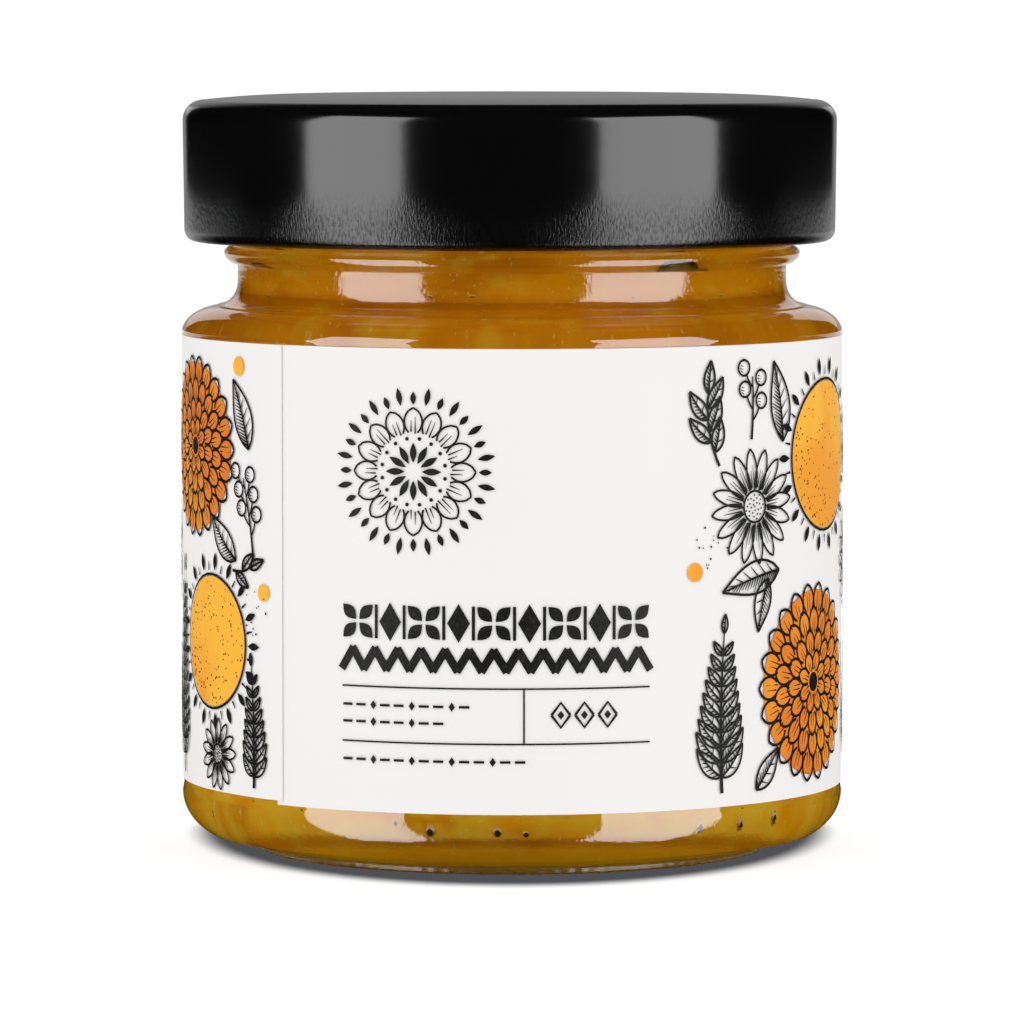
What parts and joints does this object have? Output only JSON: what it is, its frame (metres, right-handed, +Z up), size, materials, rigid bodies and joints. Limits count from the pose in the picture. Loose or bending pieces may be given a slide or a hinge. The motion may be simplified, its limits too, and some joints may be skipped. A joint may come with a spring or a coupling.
{
  "type": "marmalade jar",
  "caption": "Squat round glass jar of orange marmalade, shut with a deep black twist-off lid and wrapped in a paper label.",
  "frame": {"origin": "middle of the ring that the jar stands on", "axes": "+Z up along the jar's axis, -Y towards the middle of the label's front"},
  "size_m": [0.069, 0.069, 0.0785],
  "materials": {
    "glass": "clear flint glass, smooth, with a faint green edge",
    "marmalade": "set amber jelly with fine peel and pulp, pressed against the glass",
    "black_lacquer": "glossy black lacquer on tinplate with a very fine orange-peel texture",
    "label_paper": "satin white paper with a plain print in orange and black"
  },
  "bodies": {
    "root": {"jar_glass": "glass", "marmalade": "marmalade", "lid": "black_lacquer", "label": "label_paper"}
  },
  "joints": []
}
